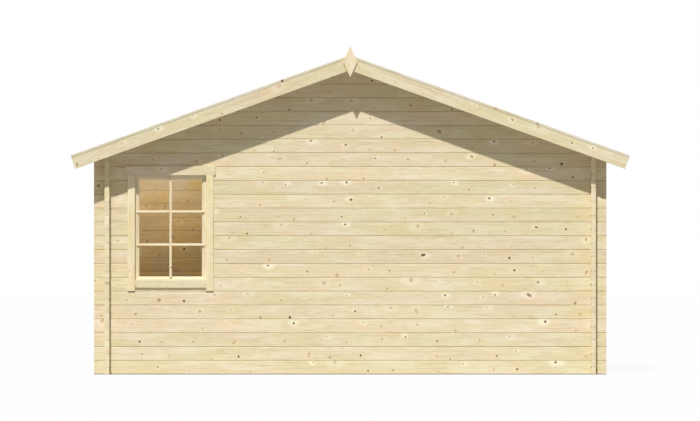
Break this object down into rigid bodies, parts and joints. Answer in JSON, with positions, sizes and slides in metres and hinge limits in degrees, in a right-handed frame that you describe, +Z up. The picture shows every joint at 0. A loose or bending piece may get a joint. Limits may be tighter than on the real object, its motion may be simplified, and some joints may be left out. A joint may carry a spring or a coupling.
{
  "type": "log garage",
  "caption": "Log garage of bare wood with interlocking notched corners, a low gabled board roof, a barred window in one gable and double board doors in the other.",
  "frame": {"origin": "centre of the building at ground level", "axes": "+X runs across the gables, to the right of a viewer who faces the window gable; +Y runs along the ridge, from the window gable to the door gable; +Z up"},
  "size_m": [5.3642, 6.458, 3.1532],
  "materials": {
    "trim_wood": "planed and untreated, matt",
    "handle_steel": "satin",
    "hinge_steel": "black, satin",
    "door_boards": "planed and untreated, matt",
    "wall_logs": "planed and untreated, matt",
    "roof_boards": "planed and untreated, matt",
    "purlin_wood": "planed and untreated, matt",
    "window_glass": "clear and smooth",
    "sash_wood": "planed and untreated, matt",
    "lining_wood": "planed and untreated, matt"
  },
  "bodies": {
    "root": {"door_braces": "trim_wood", "door_end_finial": "trim_wood", "door_end_left_barge_board": "trim_wood", "door_end_left_cover_lath": "trim_wood", "door_end_right_barge_board": "trim_wood", "door_end_right_cover_lath": "trim_wood", "door_handle": "handle_steel", "door_head": "trim_wood", "door_head_casing": "trim_wood", "door_hinge_plates": "hinge_steel", "door_hinge_straps": "hinge_steel", "door_jambs": "trim_wood", "door_ledges": "door_boards", "door_meeting_lath": "door_boards", "door_side_casings": "trim_wood", "door_wall_even_logs": "wall_logs", "door_wall_odd_logs": "wall_logs", "eaves_laths": "trim_wood", "left_door_leaf": "door_boards", "left_roof_boarding": "roof_boards", "left_wall_even_logs": "wall_logs", "left_wall_odd_logs": "wall_logs", "lower_purlins": "purlin_wood", "ridge_purlin": "purlin_wood", "right_door_leaf": "door_boards", "right_roof_boarding": "roof_boards", "right_wall_even_logs": "wall_logs", "right_wall_odd_logs": "wall_logs", "upper_purlins": "purlin_wood", "window_end_finial": "trim_wood", "window_end_left_barge_board": "trim_wood", "window_end_left_cover_lath": "trim_wood", "window_end_right_barge_board": "trim_wood", "window_end_right_cover_lath": "trim_wood", "window_glass": "window_glass", "window_head_casing": "trim_wood", "window_sash_rails": "sash_wood", "window_sash_stiles": "sash_wood", "window_side_casings": "trim_wood", "window_side_linings": "lining_wood", "window_sill_and_head_linings": "lining_wood", "window_sill_board": "trim_wood", "window_wall_even_logs": "wall_logs", "window_wall_odd_logs": "wall_logs"}
  },
  "joints": []
}
